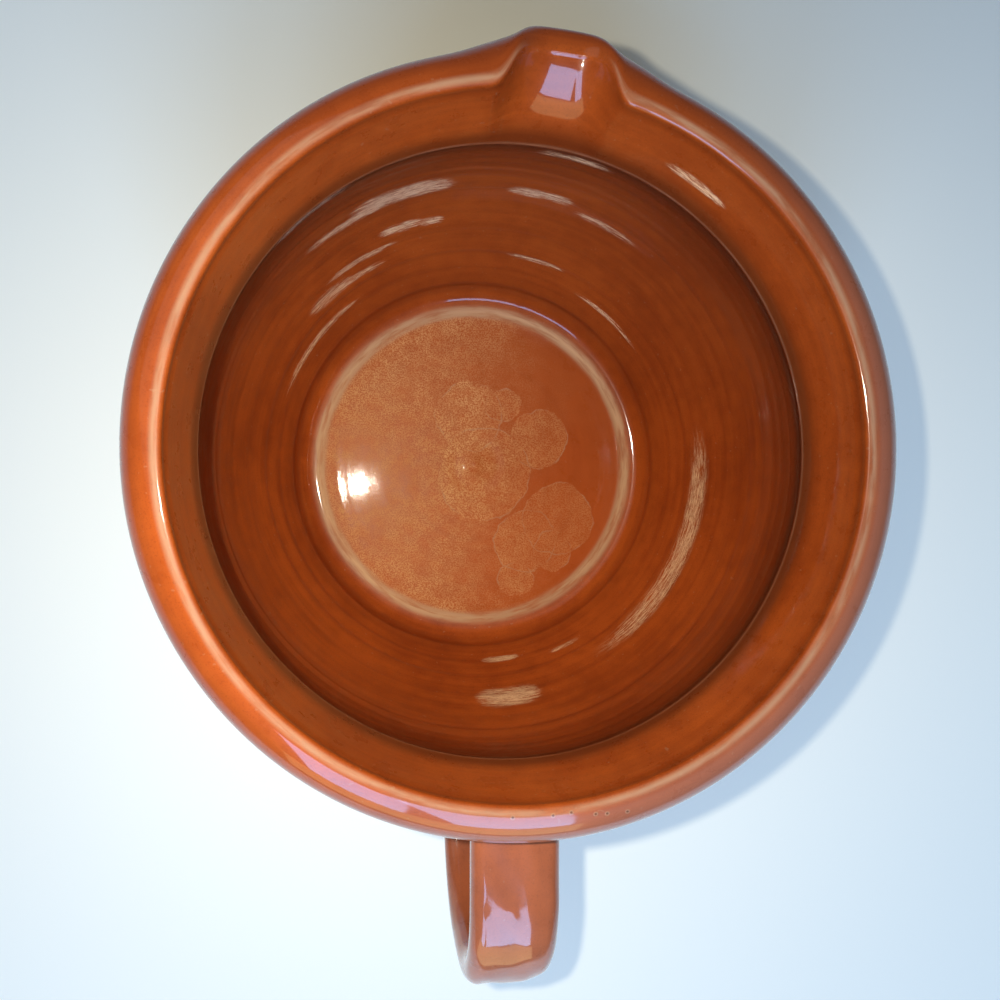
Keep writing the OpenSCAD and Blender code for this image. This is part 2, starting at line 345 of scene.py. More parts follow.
wheel = put(throwing, "NodeGroupInput").outputs
points = put(throwing, "GeometryNodeAttributeDomainSize", {0: wheel["Section"]}).outputs["Point Count"]
around = calc(throwing, "ADD", wheel["Columns"], 1)
grid = put(throwing, "GeometryNodeMeshGrid", {2: points, 3: around}).outputs["Mesh"]
index = put(throwing, "GeometryNodeInputIndex").outputs[0]
row = calc(throwing, "FLOOR", calc(throwing, "DIVIDE", calc(throwing, "ADD", index, 0.5), around))
column = calc(throwing, "SUBTRACT", index, calc(throwing, "MULTIPLY", row, around))


def look_up(name, kind):
    """An attribute of the section, read at this grid point's row."""
    if name == "position":
        value = put(throwing, "GeometryNodeInputPosition").outputs[0]
    else:
        value = put(throwing, "GeometryNodeInputNamedAttribute", {"Name": name}, data_type=kind).outputs[0]
    sampled = put(throwing, "GeometryNodeSampleIndex", {0: wheel["Section"]}, data_type=kind)
    fill(throwing, sampled.inputs["Value"], value)
    fill(throwing, sampled.inputs["Index"], row)
    return sampled.outputs[0]


along = look_up("along", "FLOAT")
half_turns = calc(throwing, "SUBTRACT", calc(throwing, "DIVIDE", column, wheel["Columns"]), 0.5)
even = calc(throwing, "MULTIPLY", half_turns, TURN)
crowd = calc(throwing, "MULTIPLY", wheel["Crowding at the spout"], calc(throwing, "SINE", even))
from_spout = calc(throwing, "SUBTRACT", even, crowd)
turn = calc(throwing, "ADD", from_spout, wheel["Spout direction"])

spiral = calc(throwing, "ADD", turn, calc(throwing, "MULTIPLY", calc(throwing, "DIVIDE", along, wheel["Ridge spacing in mm"]), TURN))
cos_turn = calc(throwing, "COSINE", turn)
sin_turn = calc(throwing, "SINE", turn)
uneven_at = put(throwing, "ShaderNodeCombineXYZ", {0: cos_turn, 1: sin_turn, 2: calc(throwing, "MULTIPLY", along, 0.21)}).outputs[0]
uneven = put(throwing, "ShaderNodeTexNoise", {"Vector": uneven_at, "Scale": 1.3, "Detail": 3.0}).outputs[0]
uneven = calc(throwing, "MULTIPLY", calc(throwing, "SUBTRACT", uneven, 0.5), 3.2)
ridges = calc(throwing, "ADD", calc(throwing, "MULTIPLY", calc(throwing, "SINE", spiral), 0.45), uneven)
ridges = calc(throwing, "MULTIPLY", calc(throwing, "MULTIPLY", ridges, look_up("ridge", "FLOAT")), MM)
lift = vector_calc(throwing, "SCALE", look_up("facing", "FLOAT_VECTOR"))
fill(throwing, lift.node.inputs["Scale"], ridges)
on_section = put(throwing, "ShaderNodeSeparateXYZ", {0: vector_calc(throwing, "ADD", look_up("position", "FLOAT_VECTOR"), lift)}).outputs

wave_at = put(throwing, "ShaderNodeCombineXYZ", {0: cos_turn, 1: sin_turn, 2: calc(throwing, "MULTIPLY", along, 0.004)}).outputs[0]
wave = put(throwing, "ShaderNodeTexNoise", {"Vector": wave_at, "Scale": 1.1, "Detail": 1.0}).outputs[0]
wave = calc(throwing, "MULTIPLY", calc(throwing, "MULTIPLY", calc(throwing, "SUBTRACT", wave, 0.6), wheel["Waviness in mm"]), MM)
shape = calc(throwing, "ADD", 1, calc(throwing, "DIVIDE", wave, RIM_R * MM))
radius = calc(throwing, "MULTIPLY", on_section[0], shape)
x = calc(throwing, "MULTIPLY", calc(throwing, "MULTIPLY", radius, cos_turn), calc(throwing, "SUBTRACT", 1, wheel["Ovality"]))
y = calc(throwing, "MULTIPLY", calc(throwing, "MULTIPLY", radius, sin_turn), calc(throwing, "ADD", 1, wheel["Ovality"]))
place = put(throwing, "ShaderNodeCombineXYZ", {0: x, 1: y, 2: on_section[2]}).outputs[0]

clay = put(throwing, "GeometryNodeSetPosition", {0: grid, "Position": place}).outputs[0]
for name, value in (("along", along), ("row", row)):
    stored = put(throwing, "GeometryNodeStoreNamedAttribute", {0: clay, "Name": name}, data_type="FLOAT")
    fill(throwing, stored.inputs["Value"], value)
    clay = stored.outputs[0]
clay = put(throwing, "GeometryNodeMergeByDistance", {0: clay, "Distance": 1e-6}).outputs[0]
clay = put(throwing, "GeometryNodeSetShadeSmooth", {0: clay}).outputs[0]
clay = put(throwing, "GeometryNodeRealizeInstances", {0: clay}).outputs[0]
clay = put(throwing, "GeometryNodeSetMaterial", {0: clay, "Material": wheel["Clay"]}).outputs[0]
put(throwing, "NodeGroupOutput", {0: clay})
print("the throwing tree has", len(throwing.nodes), "nodes")

# %% [markdown]
# The finishes are made before the shapes, so that the wheel's tree can hand the glazed clay over with
# its material. Real redware glaze is a clear lead-like coat over an iron-red body: the colour lies in the
# clay, darker where the coat pools and paler where it runs thin over an edge, and the gloss lies on top.
# Some darker and paler places here are painted shade and painted highlights laid into that colour.

# %% Helpers for finishes
def new_finish(name):
    """An empty material with its output, and the tree to fill."""
    finish = bpy.data.materials.new(name)
    finish.use_nodes = True
    finish.node_tree.nodes.clear()
    return finish, finish.node_tree


def blend(tree, share, a, b):
    """A mix of two colours by a share."""
    node = put(tree, "ShaderNodeMix", {0: share, 6: a, 7: b}, data_type="RGBA")
    return node.outputs[2]


def ramp(tree, value, low, high, start=0.0, end=1.0):
    """A smooth change from start to end while the value goes from low to high."""
    node = put(tree, "ShaderNodeMapRange", {0: value, 1: low, 2: high, 3: start, 4: end},
               interpolation_type="SMOOTHSTEP")
    return node.outputs[0]


def noise(tree, at, scale, detail=3.0, roughness=0.5, distortion=0.0):
    """Cloudy noise at a place, between 0 and 1."""
    inputs = {"Vector": at, "Scale": scale, "Detail": detail, "Roughness": roughness, "Distortion": distortion}
    return put(tree, "ShaderNodeTexNoise", inputs).outputs["Fac"]


def cone(tree, place, centre, radius, soft):
    """One inside a circle seen from above, in millimetres, falling to nothing at its soft edge."""
    flat = vector_calc(tree, "MULTIPLY", place, (1, 1, 0))
    distance = put(tree, "ShaderNodeVectorMath", {0: flat, 1: (centre[0] * MM, centre[1] * MM, 0)},
                   operation="DISTANCE").outputs["Value"]
    return ramp(tree, distance, (radius - soft) * MM, radius * MM, 1.0, 0.0)


def larger(tree, values):
    """The largest of several outputs."""
    result = values[0]
    for value in values[1:]:
        result = calc(tree, "MAXIMUM", result, value)
    return result


def mark(tree, name):
    """A number stored on the piece's points."""
    return put(tree, "ShaderNodeAttribute", attribute_name=name).outputs["Fac"]


# %% [markdown]
# All the clay shares one coat. Its tone drifts in clouds and along the marks of the fingers, and fine dark
# and pale grains lie in it, where iron and lime came through. The bare clay of the foot is pale and matt.

# %% The coat of glaze that all pieces share
CLAY_DEEP = (0.26, 0.045, 0.007, 1)
CLAY_WARM = (0.42, 0.085, 0.012, 1)
CLAY_GRAIN = (0.105, 0.02, 0.005, 1)
# Painted shade laid over the back and right of the bowl
CLAY_PAINTED_SHADE = (0.16, 0.026, 0.004, 1)
# Pale clay under thin glaze, also used for painted highlights
CLAY_THIN_AND_HIGHLIGHT = (0.39, 0.225, 0.13, 1)
# Painted sheen of a pale, bluish reflection on the outside and the handle
CLAY_PAINTED_SHEEN = (0.33, 0.165, 0.115, 1)
# Dark glaze pooled in folds and pinholes, also laid on as painted shade and painted shadow
GLAZE_POOL_AND_SHADE = (0.055, 0.010, 0.003, 1)
# Pale, rough dry glaze, also used for painted highlights
GLAZE_DRY_AND_HIGHLIGHT = (0.74, 0.50, 0.29, 1)
BARE_CLAY = (0.50, 0.225, 0.12, 1)
# Dull dried film on the floor, also laid on as painted sheen
FLOOR_FILM_AND_SHEEN = (0.60, 0.33, 0.14, 1)


def base_coat(tree, place, marks_at):
    """Colour, roughness and relief of plain glazed clay."""
    streaks = noise(tree, marks_at, 1.0, 5.0, 0.6)
    clouds = noise(tree, place, 24.0, 3.0, 0.55)
    mottle = noise(tree, place, 190.0, 4.0, 0.6)
    tone = calc(tree, "MULTIPLY", streaks, 0.3)
    tone = calc(tree, "ADD", tone, calc(tree, "MULTIPLY", clouds, 0.45))
    tone = calc(tree, "ADD", tone, calc(tree, "MULTIPLY", mottle, 0.25))
    colour = blend(tree, ramp(tree, tone, 0.34, 0.66), CLAY_DEEP, CLAY_WARM)
    grain = noise(tree, place, 2100.0, 2.0, 0.7)
    colour = blend(tree, ramp(tree, grain, 0.5, 0.7, 0.0, 0.32), colour, CLAY_GRAIN)
    lime = noise(tree, place, 900.0, 0.0)
    colour = blend(tree, ramp(tree, lime, 0.79, 0.85, 0.0, 0.3), colour, CLAY_THIN_AND_HIGHLIGHT)
    rough = ramp(tree, mottle, 0.3, 0.7, 0.26, 0.36)
    height = calc(tree, "ADD", calc(tree, "MULTIPLY", streaks, 0.35), calc(tree, "MULTIPLY", mottle, 0.25))
    height = calc(tree, "ADD", height, calc(tree, "MULTIPLY", grain, 0.06))
    return colour, rough, height


def finish_off(tree, colour, rough, height, coat):
    """Puts colour, roughness, relief and gloss together into the material's surface."""
    bump = put(tree, "ShaderNodeBump", {"Strength": 0.45, "Distance": 0.22 * MM, "Height": height}).outputs[0]
    shader = put(tree, "ShaderNodeBsdfPrincipled", {
        "Base Color": colour, "Roughness": rough, "Normal": bump, "Specular IOR Level": 0.08,
        "Coat Weight": coat, "Coat Roughness": 0.06}).outputs[0]
    put(tree, "ShaderNodeOutputMaterial", {"Surface": shader})


def strap_glaze(name):
    """Glaze on the handle and its joins, with the marks of the pull along the strap."""
    finish, tree = new_finish(name)
    place = put(tree, "ShaderNodeTexCoord").outputs["Object"]
    marks_at = vector_calc(tree, "MULTIPLY", place, (170.0, 26.0, 26.0))
    colour, rough, height = base_coat(tree, place, marks_at)
    # Pale thin glaze and painted highlight, where the piece carries that mark
    worn_and_highlight = noise(tree, place, 300.0, 3.0, 0.6)
    worn_and_highlight = calc(tree, "MULTIPLY", mark(tree, "thin_and_highlight"), ramp(tree, worn_and_highlight, 0.3, 0.6))
    # Painted sheen: the whole strap is paled towards a bluish reflection
    colour = blend(tree, 0.3, colour, CLAY_PAINTED_SHEEN)
    colour = blend(tree, worn_and_highlight, colour, CLAY_THIN_AND_HIGHLIGHT)
    finish_off(tree, colour, rough, height, 0.9)
    return finish


handle_glaze = strap_glaze("handle_glaze")
join_glaze = strap_glaze("join_glaze")
print("glaze on the handle has", len(handle_glaze.node_tree.nodes), "nodes")

# %% [markdown]
# On the bowl the marks run round the axis. To the shared coat come a pale line over the crest, partly thin
# glaze and partly painted highlight; a pale band round the floor's groove, partly thin glaze and partly
# painted highlight; a painted highlight along the neck's edge; glaze pooled in the fold inside the crest, and
# painted shade and painted shadow down the collar and under the neck; pale torn patches, partly dry glaze and
# partly painted highlight; painted shade over the back and right of the bowl and a painted sheen on the
# outside; and the dull film that dried up in rings on the floor, with paler outlines where each puddle's edge
# stood, grown towards the left as a painted sheen. A few pinholes burst along the crest over the handle. The
# foot is bare, and the glaze ends above it in an uneven line.

# %% The glaze on the bowl
PUDDLES = ((-2.2, 19.7, 13.8), (11.6, 23.8, 7.1), (25.6, 10.2, 11.9), (3.5, -3.5, 18.5),
           (20, -30, 12.5), (16.5, -45, 7), (33.8, -21.6, 14.5), (31, -34, 8))
PINHOLES = ((12.1, -79.7), (4.7, -85.4), (17.7, -85.7), (22.7, -85.6), (0.9, -79.2), (-4.8, -85.4),
            (9.0, -84.9), (14.9, -85.6))


def floor_film(tree, place):
    """The dried film on the floor, and the outlines of its puddles."""
    shifted = place
    for scale, reach in ((62.0, 0.006), (330.0, 0.0018)):
        wander = put(tree, "ShaderNodeTexNoise", {"Vector": place, "Scale": scale, "Detail": 2.0}).outputs["Color"]
        wander = vector_calc(tree, "SUBTRACT", wander, (0.5, 0.5, 0.5))
        shifted = vector_calc(tree, "ADD", shifted, vector_calc(tree, "MULTIPLY", wander, (reach, reach, 0)))
    insides = []
    outlines = []
    for x, y, radius in PUDDLES:
        inside = cone(tree, shifted, (x, y), radius, 0.5)
        insides.append(inside)
        outlines.append(calc(tree, "SUBTRACT", inside, cone(tree, shifted, (x, y), radius - 0.3, 0.5)))
    broken = ramp(tree, noise(tree, place, 90.0, 3.0), 0.42, 0.6)
    return larger(tree, insides), calc(tree, "MULTIPLY", larger(tree, outlines), broken)


def pinhole_rings(tree, place):
    """Pale rims and dark pits of the pinholes, on the crest only."""
    high = ramp(tree, put(tree, "ShaderNodeSeparateXYZ", {0: place}).outputs[2], 0.136, 0.137)
    rims = [cone(tree, place, centre, 0.75, 0.3) for centre in PINHOLES]
    pits = [cone(tree, place, centre, 0.42, 0.25) for centre in PINHOLES]
    return calc(tree, "MULTIPLY", larger(tree, rims), high), calc(tree, "MULTIPLY", larger(tree, pits), high)


def bowl_glaze():
    """The glaze on the bowl, from the shared coat to the bare foot."""
    finish, tree = new_finish("body_glaze")
    place = put(tree, "ShaderNodeTexCoord").outputs["Object"]
    xyz = put(tree, "ShaderNodeSeparateXYZ", {0: place}).outputs
    along = mark(tree, "along")

    def round_axis(around, up):
        """Coordinates in which noise lies in streaks round the axis."""
        return put(tree, "ShaderNodeCombineXYZ", {
            0: calc(tree, "MULTIPLY", xyz[0], around), 1: calc(tree, "MULTIPLY", xyz[1], around),
            2: calc(tree, "MULTIPLY", along, up)}).outputs[0]

    colour, rough, height = base_coat(tree, place, round_axis(14.0, 0.42))

    inside, outline = floor_film(tree, place)
    on_floor = mark(tree, "floor_inside")
    colour = blend(tree, calc(tree, "MULTIPLY", on_floor, 0.6), colour, CLAY_WARM)
    # Painted shade: the bowl is darkened towards its back and right side
    shaded_side = calc(tree, "ADD", xyz[1], calc(tree, "MULTIPLY", xyz[0], 0.5))
    shaded_side = calc(tree, "ADD", shaded_side, calc(tree, "MULTIPLY", noise(tree, place, 18.0, 2.0), 0.03))
    colour = blend(tree, ramp(tree, shaded_side, -0.02, 0.14, 0.0, 0.5), colour, CLAY_PAINTED_SHADE)
    # The film grows towards the left, partly as a painted sheen of the lamp's glare there
    drift = calc(tree, "ADD", xyz[0], calc(tree, "MULTIPLY", noise(tree, place, 40.0, 3.0), 0.05))
    film_and_sheen = calc(tree, "ADD", ramp(tree, drift, 0.07, -0.01, 0.0, 0.4), calc(tree, "MULTIPLY", inside, 0.18))
    clouded = ramp(tree, noise(tree, place, 150.0, 5.0, 0.7), 0.35, 0.65, 0.6, 1.3)
    speckle = ramp(tree, noise(tree, place, 1900.0, 2.0, 0.8), 0.4, 0.6, 0.2, 1.6)
    film_and_sheen = calc(tree, "MULTIPLY", calc(tree, "MULTIPLY", film_and_sheen, on_floor), clouded)
    film_and_sheen = calc(tree, "MULTIPLY", film_and_sheen, speckle)
    colour = blend(tree, film_and_sheen, colour, FLOOR_FILM_AND_SHEEN)
    outline = calc(tree, "MULTIPLY", calc(tree, "MULTIPLY", outline, on_floor), 0.7)
    colour = blend(tree, outline, colour, CLAY_THIN_AND_HIGHLIGHT)
    rough = calc(tree, "ADD", rough, calc(tree, "MULTIPLY", film_and_sheen, 0.5))

    # The outside is made a little darker all round, and its right and lower side gets a painted sheen standing in for
    # reflected light
    sheen_at = calc(tree, "SUBTRACT", xyz[0], calc(tree, "MULTIPLY", xyz[1], 0.6))
    painted_sheen = calc(tree, "MULTIPLY", mark(tree, "outside"), ramp(tree, sheen_at, -0.02, 0.09, 0.0, 0.42))
    colour = blend(tree, calc(tree, "MULTIPLY", mark(tree, "outside"), 0.4), colour, CLAY_DEEP)
    colour = blend(tree, painted_sheen, colour, CLAY_PAINTED_SHEEN)
    # Painted shade and painted shadow under the neck; in the crest's fold it is partly pooled glaze
    pool_and_shade = mark(tree, "pool_and_shade")
    colour = blend(tree, pool_and_shade, colour, GLAZE_POOL_AND_SHADE)
    uneven = ramp(tree, noise(tree, round_axis(70.0, 0.5), 1.0, 3.0, 0.6), 0.3, 0.6, 0.35, 1.0)
    # Partly painted highlight: the pale line over the crest, the band round the floor's groove and the line along the
    # neck's edge
    thin_and_highlight = calc(tree, "MULTIPLY", ramp(tree, mark(tree, "thin_and_highlight"), 0.12, 0.9), uneven)
    colour = blend(tree, thin_and_highlight, colour, CLAY_THIN_AND_HIGHLIGHT)

    # Painted highlight round the floor's groove
    colour = blend(tree, calc(tree, "MULTIPLY", mark(tree, "ring_glint"), uneven), colour, GLAZE_DRY_AND_HIGHLIGHT)
    # Pale patches, partly dry torn glaze and partly painted highlight
    torn = noise(tree, round_axis(140.0, 2.4), 1.0, 6.0, 0.8)
    unfilled = mark(tree, "dry_and_highlight")
    torn = calc(tree, "ADD", torn, calc(tree, "MULTIPLY", calc(tree, "SUBTRACT", unfilled, 1.0), 0.2))
    dry_and_highlight = calc(tree, "MULTIPLY", ramp(tree, torn, 0.31, 0.42), ramp(tree, unfilled, 0.08, 0.35))
    scratched = noise(tree, round_axis(300.0, 5.0), 1.0, 3.0, 0.8)
    dry_and_highlight = calc(tree, "MULTIPLY", dry_and_highlight, ramp(tree, scratched, 0.41, 0.5, 0.15, 1.0))
    colour = blend(tree, calc(tree, "MULTIPLY", dry_and_highlight, 0.9), colour, GLAZE_DRY_AND_HIGHLIGHT)
    rough = calc(tree, "ADD", rough, calc(tree, "MULTIPLY", dry_and_highlight, 0.12))
    satin = mark(tree, "satin")
    rough = calc(tree, "ADD", rough, calc(tree, "MULTIPLY", satin, 0.14))
    rough = calc(tree, "ADD", rough, calc(tree, "MULTIPLY", thin_and_highlight, 0.25))
    height = calc(tree, "ADD", height, calc(tree, "MULTIPLY", dry_and_highlight, 0.5))
    height = calc(tree, "ADD", height, calc(tree, "MULTIPLY", film_and_sheen, 0.12))

    rims, pits = pinhole_rings(tree, place)
    colour = blend(tree, calc(tree, "MULTIPLY", rims, 0.5), colour, CLAY_THIN_AND_HIGHLIGHT)
    colour = blend(tree, calc(tree, "MULTIPLY", pits, 0.7), colour, GLAZE_POOL_AND_SHADE)
    height = calc(tree, "ADD", height, calc(tree, "MULTIPLY", calc(tree, "SUBTRACT", rims, pits), 0.5))

    edge = calc(tree, "ADD", xyz[2], calc(tree, "MULTIPLY", noise(tree, place, 46.0, 3.0), 0.006))
    bare = ramp(tree, edge, 0.0056, 0.0050)
    wire = put(tree, "ShaderNodeTexWave", {
        "Vector": vector_calc(tree, "ADD", place, (0.14, 0.05, 0)), "Scale": 140.0, "Distortion": 1.5,
        "Detail": 2.0, "Detail Scale": 0.4}, wave_type="RINGS", rings_direction="Z").outputs["Fac"]
    bare_tone = blend(tree, calc(tree, "MULTIPLY", wire, 0.3), BARE_CLAY, CLAY_WARM)
    colour = blend(tree, bare, colour, bare_tone)
    rough = calc(tree, "ADD", rough, calc(tree, "MULTIPLY", bare, 0.5))
    height = calc(tree, "ADD", height, calc(tree, "MULTIPLY", calc(tree, "MULTIPLY", wire, bare), 0.6))
    dull = calc(tree, "ADD", bare, calc(tree, "MULTIPLY", dry_and_highlight, 0.6))
    dull = calc(tree, "ADD", dull, calc(tree, "MULTIPLY", film_and_sheen, 2.6))
    dull = calc(tree, "ADD", dull, calc(tree, "MULTIPLY", satin, 0.72))
    dull = calc(tree, "ADD", dull, calc(tree, "MULTIPLY", thin_and_highlight, 1.4))
    coat = ramp(tree, dull, 0.0, 1.0, 0.9, 0.0)
    finish_off(tree, colour, rough, height, coat)
    return finish


body_glaze = bowl_glaze()
print("glaze on the bowl has", len(body_glaze.node_tree.nodes), "nodes")

# %% [markdown]
# The tree's inputs are set by their identifiers before Blender evaluates it for the first time. Its
# result becomes a plain mesh, and the helper object with the section goes away.

# %% Throw the bowl
def plain_mesh(source, name):
    """The evaluated object as a plain mesh object of its own."""
    graph = bpy.context.evaluated_depsgraph_get()
    mesh = bpy.data.meshes.new_from_object(source.evaluated_get(graph))
    mesh.name = name
    made = bpy.data.objects.new(name, mesh)
    bpy.context.scene.collection.objects.link(made)
    return made


modifier = bowl_section.modifiers.new("throw_the_bowl", "NODES")
modifier.node_group = throwing
for name, (kind, value) in WHEEL_INPUTS.items():
    modifier[wheel_sockets[name]] = body_glaze if name == "Clay" else value
bowl = plain_mesh(bowl_section, "pitcher_body")
bowl_section.modifiers.remove(modifier)
bpy.data.objects.remove(bowl_section)
print("bowl thrown:", len(bowl.data.vertices), "points,", len(bowl.data.polygons), "faces")

# %% [markdown]
# The spout is no added part: the potter holds the rim with two fingers and draws it outwards between
# them with a third while the clay is soft. So it is pulled out of the finished rim here too. Each point
# of the rim knows its part and share of the section and its distance from the spout's middle, and from
# these its new radius and height follow: the lip reaches out and sinks, the two cheeks stay high, and the
# collar opens into a channel.

# %% Pull the spout
def near(distance, half, power):
    """One close to the spout's middle, falling to nothing past a half width."""
    return np.exp(-np.abs(distance / half) ** power)


def between(a, b, share):
    """A pair of coordinates part of the way from one to another."""
    return [p + (q - p) * share for p, q in zip(a, b)]


LIP_R = 101.8
LIP_CREST_R = 96.2
LIP_DROP = 6.2
BAND_PULL = 3.8


def pulled(part, t, a):
    """Radius and height of a rim point beside the spout, a millimetres round from its middle."""
    skew = np.tanh(a / 6)
    outer = [RIM_R + BAND_PULL * near(a, 21.5, 4) + (LIP_R - RIM_R - BAND_PULL) * near(a, 10.6 + 0.5 * skew, 6),
             ROLL_Z + 1.3 * near(a, 11, 6) - 0.6 * near(a, 22, 4)]
    crest = [CREST_R + (LIP_CREST_R - CREST_R) * near(a, 13.7 + 0.9 * skew, 5),
             BODY_H - LIP_DROP * near(a, 10.6 + 0.4 * skew, 4)]
    neck = [NECK_R + 0 * a, NECK_Z + 0 * a]
    if part == "roll_under":
        plain = roll_under(t)
        follow = t * t * (3 - 2 * t)
        plain = [p + (o - q) * follow for p, o, q in zip(plain, outer, (RIM_R, ROLL_Z))]
        flare = bezier([neck, (neck[0] + 0.3, neck[1] + 8.5), (outer[0] - 2.6, outer[1] - 5.3), outer], t)
        return between(plain, flare, near(a, 13, 4))
    if part == "roll":
        angle = TURN / 4 * t
        return [crest[0] + (outer[0] - crest[0]) * np.cos(angle), outer[1] + (crest[1] - outer[1]) * np.sin(angle)]
    soften = 1 - 0.7 * near(a, 11, 5)
    bead = [crest[0] - CREST_LAND - CREST_BEAD, crest[1] - CREST_BEAD * soften]
    if part == "bead":
        turn = TURN / 4 * np.clip(t * 1.25 - 0.25, 0, 1)
        return [crest[0] - CREST_LAND * np.clip(t * 4, 0, 1) - CREST_BEAD * np.sin(turn),
                crest[1] - CREST_BEAD * soften * (1 - np.cos(turn))]
    foot = [NECK_EDGE_R + 0 * a, NECK_Z + 0.4 + 0 * a]
    high = between(between(bead, foot, 1 / 3), (bead[0] - 5.6, bead[1] - 2.6), near(a, 12, 4))
    low = between(between(bead, foot, 2 / 3), (83.2, 128.5), near(a, 16, 4))
    line = bezier([bead, high, low, foot], t)
    return [line[0] + collar_relief(t) * (1 - near(a, 14, 4)), line[1]]


def values_of(mesh, name):
    """A number stored on each point of a mesh."""
    values = np.zeros(len(mesh.vertices), np.float32)
    mesh.attributes[name].data.foreach_get("value", values)
    return values.astype(float)


def places_of(mesh):
    """The places of a mesh's points."""
    places = np.zeros(len(mesh.vertices) * 3, np.float32)
    mesh.vertices.foreach_get("co", places)
    return places.reshape(-1, 3).astype(float)


row_of = np.round(values_of(bowl.data, "row")).astype(int)
bowl_at = places_of(bowl.data)
beside = np.arctan2(bowl_at[:, 1], bowl_at[:, 0]) - SPOUT_TURN
beside = ((beside + math.pi) % TURN - math.pi) * RIM_R
for part in ("roll_under", "roll", "bead", "collar"):
    rows = np.flatnonzero(section_part == PART_NAMES.index(part))
    chosen = np.flatnonzero(np.isin(row_of, rows))
    t = section_share[row_of[chosen]]
    new = pulled(part, t, beside[chosen])
    old = pulled(part, t, beside[chosen] * 0 + 1e3)
    away = bowl_at[chosen, :2] / np.linalg.norm(bowl_at[chosen, :2], axis=1)[:, None]
    bowl_at[chosen, :2] += away * ((new[0] - old[0]) * MM)[:, None]
    bowl_at[chosen, 2] += (new[1] - old[1]) * MM
bowl.data.vertices.foreach_set("co", bowl_at.ravel())
print("spout pulled out to", round(bowl_at[:, 1].max() / MM, 2), "mm")


# %% [markdown]
# A thrown rim is never quite centred over the foot. Here its rolled band lies a little nearer to the
# handle's right-hand side than to the left, so the band moves while crest and neck keep their places.

# %% Let the rolled band wander
def band_share(part, t):
    """How much a point of the rolled band follows its wandering: all of it at the widest place."""
    return t * t * (3 - 2 * t) if part == "roll_under" else np.cos(TURN / 4 * t)


inner_parts = [PART_NAMES.index(part) for part in ("collar", "inside")]
neck_share = np.exp(-((bowl_at[:, 2] / MM - NECK_Z) / 12) ** 2) * np.isin(section_part[row_of], inner_parts)
bowl_at[:, 0] -= 0.9 * MM * neck_share
around_bowl = np.arctan2(bowl_at[:, 1], bowl_at[:, 0])
for part in ("roll_under", "roll"):
    rows = np.flatnonzero(section_part == PART_NAMES.index(part))
    chosen = np.flatnonzero(np.isin(row_of, rows))
    share = band_share(part, section_share[row_of[chosen]])
    wander = (0.6 * np.cos(around_bowl[chosen]) - 0.35) * share
    away = bowl_at[chosen, :2] / np.linalg.norm(bowl_at[chosen, :2], axis=1)[:, None]
    bowl_at[chosen, :2] += away * (wander * MM)[:, None]
bowl.data.vertices.foreach_set("co", bowl_at.ravel())
print("rolled band from", round(bowl_at[:, 0].min() / MM, 2), "to", round(bowl_at[:, 0].max() / MM, 2))

# %% Close and face the bowl
def face_outwards(piece):
    """Merges doubles, turns every face outwards and prints the volume in litres of clay and the count of open edges."""
    work = bmesh.new()
    work.from_mesh(piece.data)
    bmesh.ops.remove_doubles(work, verts=work.verts, dist=1e-6)
    bmesh.ops.recalc_face_normals(work, faces=work.faces)
    volume = work.calc_volume(signed=True) * 1000
    open_edges = sum(not edge.is_manifold for edge in work.edges)
    work.to_mesh(piece.data)
    work.free()
    print(piece.name, "holds", round(volume, 3), "litres of clay and has", open_edges, "open edges")


face_outwards(bowl)

# %% [markdown]
# The glaze needs to know where it ran thin, where it pooled and where it stayed dry, and where painted light
# and shade lie. The pale line over the crest and the band round the floor's groove are partly thin glaze and
# partly painted highlight, and the line along the neck's edge is a painted highlight. Glaze pools in the fold
# inside the crest. Down the collar, under the neck's edge and in the corner by the floor, the dark is painted
# shade and painted shadow. The pale patches along the finger ridges are partly dry, torn glaze and partly
# painted highlight. Each of these is a number on the bowl's points.

# %% Mark thin, pooled and dry glaze, and the painted highlights and shade
# Pale patches along the finger ridges: partly dry, torn glaze and partly painted highlight and sheen
DRY_AND_HIGHLIGHT_PATCHES = (
    (75, 110, 10, 4.2, 1.0), (71, 123, 9, 2.0, 0.85), (113, 131, 9, 4, 0.45), (115.5, 109, 4, 1.0, 0.7),
    (54, 111, 5, 2.0, 0.7), (53, 103.5, 3, 1.8, 0.5), (47, 122.5, 9, 1.3, 0.75), (41, 133, 7, 2.6, 0.5),
    (40, 126, 9, 1.1, 0.6), (29.5, 144, 15, 1.0, 0.85), (110.5, 78, 7, 2.6, 0.6), (70, 80, 7, 2.6, 0.6),
    (65.5, 64, 8, 1.9, 0.4), (34.6, 75, 8, 1.0, 0.65), (28, 49, 12, 0.9, 0.5), (49, -84.5, 7, 4.5, 1.0),
    (26.8, -84, 5, 1.4, 0.85), (30.3, -65, 5, 0.9, 0.5), (42.5, -25, 32, 4.6, 0.5), (130, 57, 6, 1.1, 0.8),
    (117, -85, 26, 0.9, 0.5),
)


def bell(distance, width):
    """One at no distance, falling smoothly to nothing past the width."""
    return np.exp(-(distance / width) ** 2)


def give_marks(mesh, name, values):
    """Stores one number for each point of a mesh."""
    mesh.attributes.new(name, "FLOAT", "POINT").data.foreach_set("value", values.astype(np.float32))


bowl_at = places_of(bowl.data) / MM
along_mm = values_of(bowl.data, "along")
degrees = np.degrees(np.arctan2(bowl_at[:, 1], bowl_at[:, 0]))
from_axis = np.hypot(bowl_at[:, 0], bowl_at[:, 1])
from_spout = ((degrees - math.degrees(SPOUT_TURN) + 180) % 360 - 180) * math.radians(RIM_R)
crest_at = along_of("bead")[0]
collar_end = along_of("collar")[1]
facing_in = along_mm > crest_at

